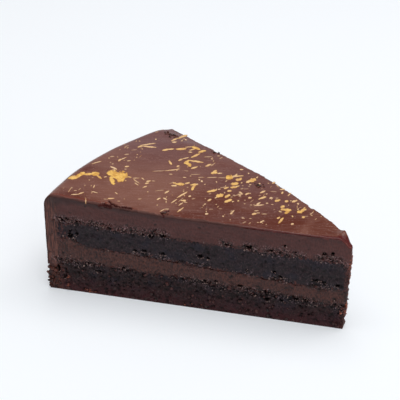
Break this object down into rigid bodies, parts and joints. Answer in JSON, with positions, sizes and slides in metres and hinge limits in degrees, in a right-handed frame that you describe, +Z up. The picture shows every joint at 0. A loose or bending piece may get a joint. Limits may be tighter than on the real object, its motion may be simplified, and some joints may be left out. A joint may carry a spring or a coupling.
{
  "type": "slice of chocolate layer cake",
  "caption": "Wedge of dark chocolate layer cake with ganache filling and coat, glossy glaze and gold splashes, standing on its flat base.",
  "frame": {"origin": "middle of the slice's bounding box, on its flat base", "axes": "+Z up; +X towards the tip of the wedge, -X towards the round outer side; the near cut faces -Y and the far cut +Y"},
  "size_m": [0.1211, 0.086, 0.0417],
  "materials": {
    "lower_sponge": "dark moist chocolate sponge, open crumb, slightly reddish towards the base",
    "filling": "chocolate ganache, cut with a knife, satin",
    "upper_sponge": "nearly black moist chocolate sponge, fine open crumb",
    "ganache_coat": "thick chocolate ganache, knife-smoothed, satin",
    "glaze": "thin poured chocolate glaze, glossy with soft reflections",
    "gold": "edible gold paint splashes, softly metallic"
  },
  "bodies": {
    "root": {"lower_sponge": "lower_sponge", "filling": "filling", "upper_sponge": "upper_sponge", "ganache_coat": "ganache_coat", "glaze": "glaze"}
  },
  "joints": []
}
